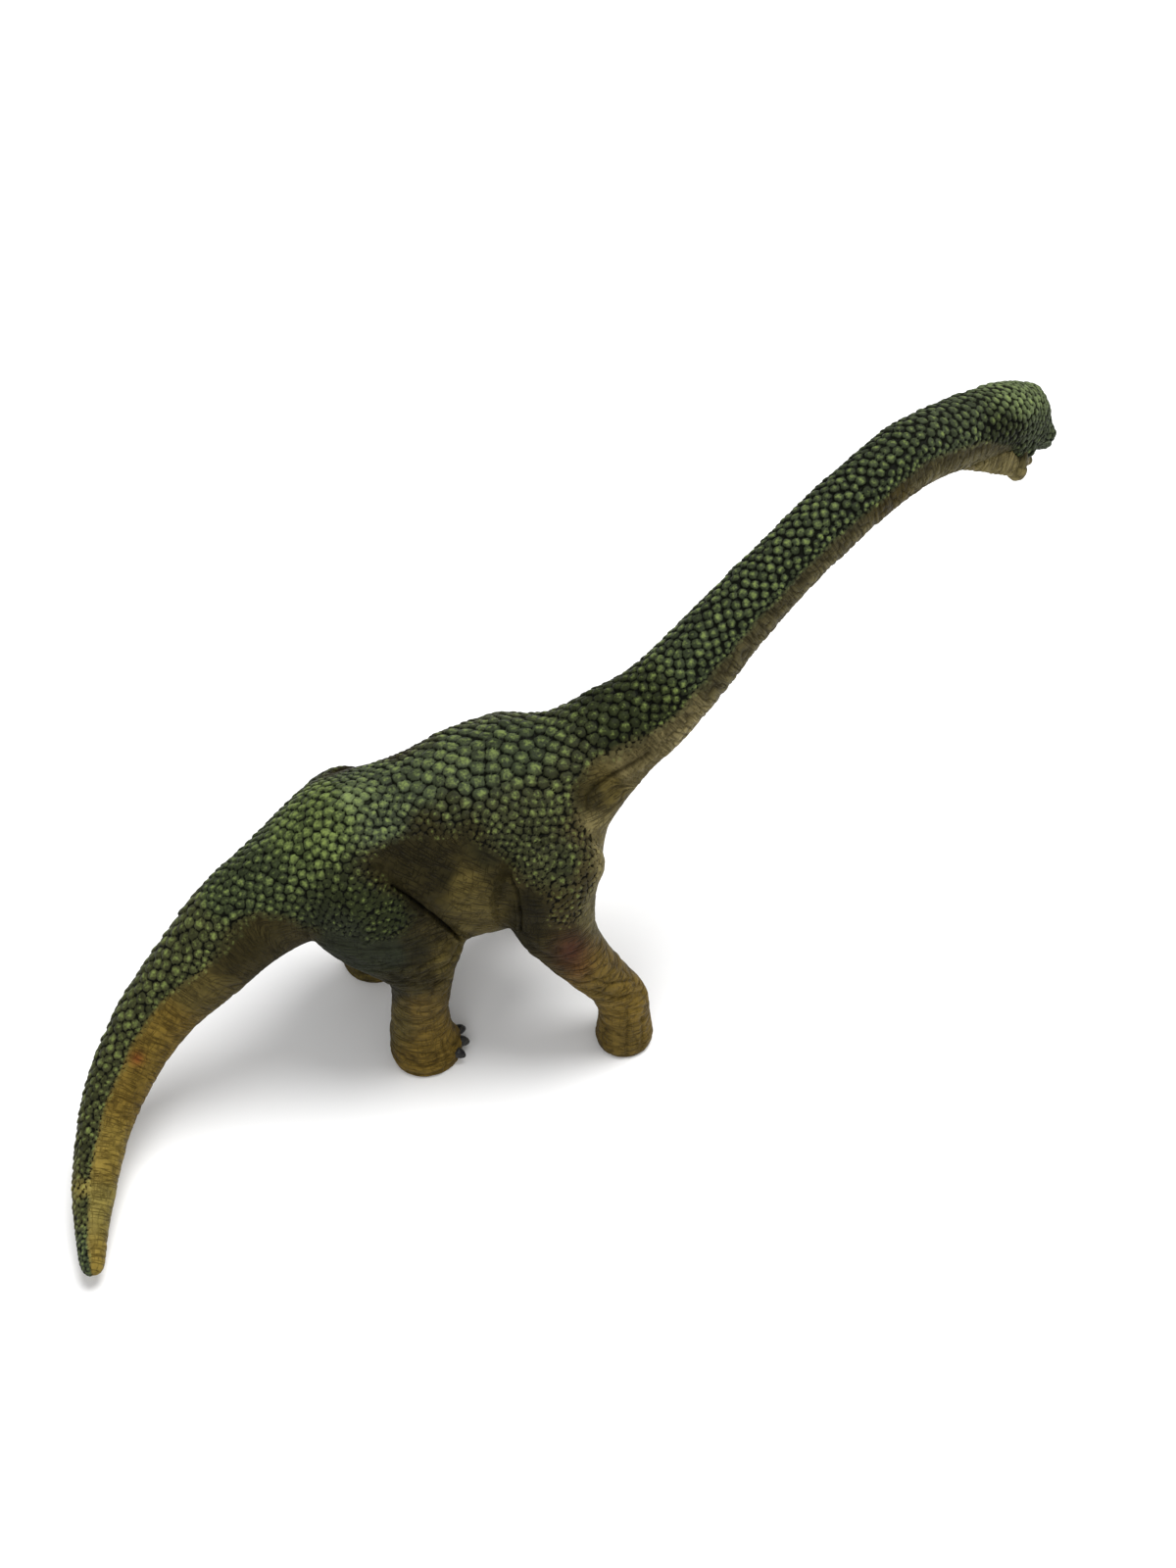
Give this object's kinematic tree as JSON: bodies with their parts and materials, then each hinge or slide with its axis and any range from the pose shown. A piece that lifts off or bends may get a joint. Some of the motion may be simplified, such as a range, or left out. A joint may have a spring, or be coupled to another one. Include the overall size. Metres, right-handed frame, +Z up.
{
  "type": "toy dinosaur figure",
  "caption": "Standing long-necked toy dinosaur with pebbled green back, olive wrinkled legs, neck raised and turned left, tail curving right to the floor.",
  "frame": {"origin": "on the floor, under the middle of the figure's box", "axes": "+X towards the head, +Y to the figure's left, +Z up"},
  "size_m": [0.3312, 0.1382, 0.1663],
  "materials": {
    "scaled_skin": "moulded pebble scales, dark green with yellow-green dry-brushed tops, satin",
    "bare_skin": "moulded fine wrinkles, olive-brown with dark wash, satin",
    "claw": "painted gloss black",
    "eye": "painted amber with a black pupil, gloss",
    "mouth": "painted dull pink, satin"
  },
  "bodies": {
    "root": {"torso_left_shell": "scaled_skin", "torso_right_shell": "scaled_skin", "neck": "scaled_skin", "head": "scaled_skin", "lower_jaw": "bare_skin", "tail": "scaled_skin", "tail_tip": "scaled_skin", "front_left_leg": "bare_skin", "front_right_leg": "bare_skin", "hind_left_leg": "bare_skin", "hind_right_leg": "bare_skin"}
  },
  "joints": []
}
